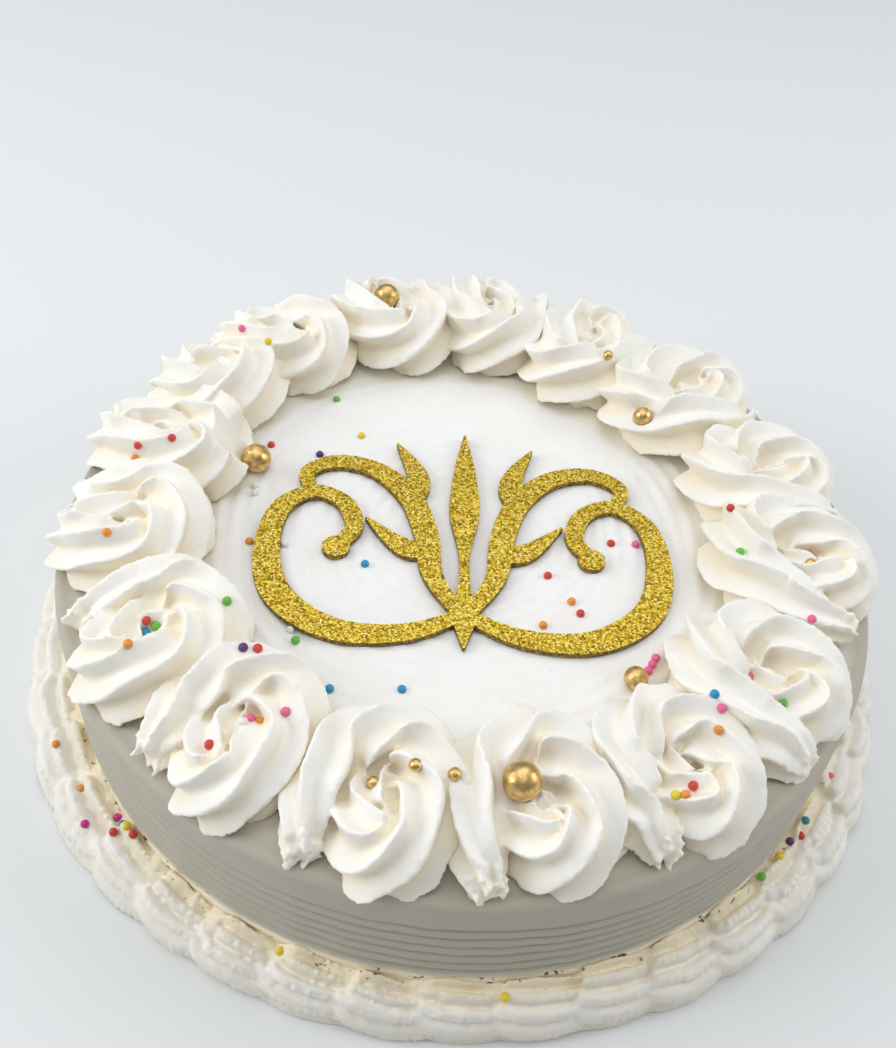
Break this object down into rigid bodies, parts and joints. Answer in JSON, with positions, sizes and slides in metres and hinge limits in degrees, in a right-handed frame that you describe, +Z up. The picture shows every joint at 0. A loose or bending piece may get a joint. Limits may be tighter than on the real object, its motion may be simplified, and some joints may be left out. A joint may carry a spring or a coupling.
{
  "type": "round frosted celebration cake",
  "caption": "Round whipped-cream cake with combed sides, piped rosettes and a shell border, topped with a gold card flourish, gold sugar pearls and coloured beads.",
  "frame": {"origin": "middle of the cake's flat base, on the surface that it stands on", "axes": "+Z up, -Y towards the front, +X to the right seen from the front"},
  "size_m": [0.2424, 0.2359, 0.0692],
  "materials": {
    "combed_cream": "soft whipped cream smoothed with a comb",
    "piped_cream": "soft piped whipped cream",
    "gold_card": "gold glitter card",
    "gold_sugar": "polished gold coating on sugar",
    "sugar_beads": "coloured sugar beads"
  },
  "bodies": {
    "root": {"cake_body": "combed_cream", "shell_border": "piped_cream", "rosette_01": "piped_cream", "rosette_02": "piped_cream", "rosette_03": "piped_cream", "rosette_04": "piped_cream", "rosette_05": "piped_cream", "rosette_06": "piped_cream", "rosette_07": "piped_cream", "rosette_08": "piped_cream", "rosette_09": "piped_cream", "rosette_10": "piped_cream", "rosette_11": "piped_cream", "rosette_12": "piped_cream", "rosette_13": "piped_cream", "rosette_14": "piped_cream", "rosette_15": "piped_cream", "rosette_16": "piped_cream", "card_flourish": "gold_card", "pearl_top_left": "gold_sugar", "pearl_top_front": "gold_sugar", "pearl_front_rosette": "gold_sugar", "pearl_back_rosette": "gold_sugar", "pearl_right_rosette": "gold_sugar"}
  },
  "joints": []
}
